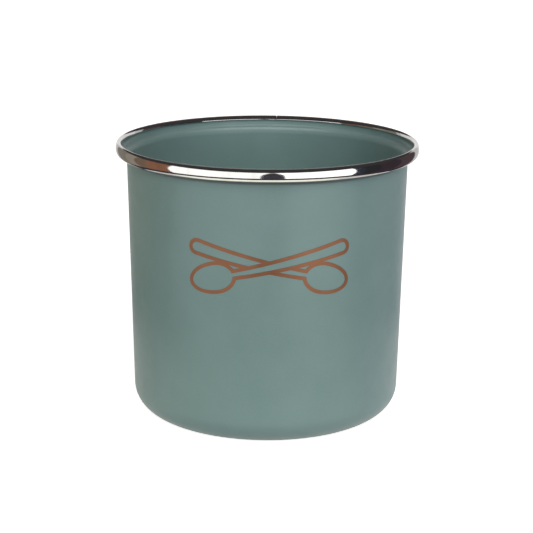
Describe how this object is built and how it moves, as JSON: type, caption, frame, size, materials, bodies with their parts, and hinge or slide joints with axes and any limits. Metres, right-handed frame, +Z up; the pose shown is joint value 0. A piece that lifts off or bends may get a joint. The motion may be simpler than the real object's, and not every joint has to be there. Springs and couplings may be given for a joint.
{
  "type": "teaspoon pot",
  "caption": "Open round steel pot with a sage-green coat, a rolled bright stainless rim and a copper line motif of crossed teaspoons, for standing small cutlery in.",
  "frame": {"origin": "centre of the base, in the plane that the pot stands on", "axes": "+Z up along the pot's own axis, out of the open mouth; the printed motif faces -Y; +X is to the right of the motif as it is read"},
  "size_m": [0.1, 0.1, 0.091],
  "materials": {
    "green_coat": "semi-matt sage-green powder coat on drawn steel, inside and out, with a very fine orange peel",
    "stainless": "polished stainless steel, close to a mirror",
    "copper_ink": "satin metallic copper printing ink, slightly raised"
  },
  "bodies": {
    "root": {"pot_body": "green_coat", "rim_band": "stainless", "spoon_print": "copper_ink"}
  },
  "joints": []
}
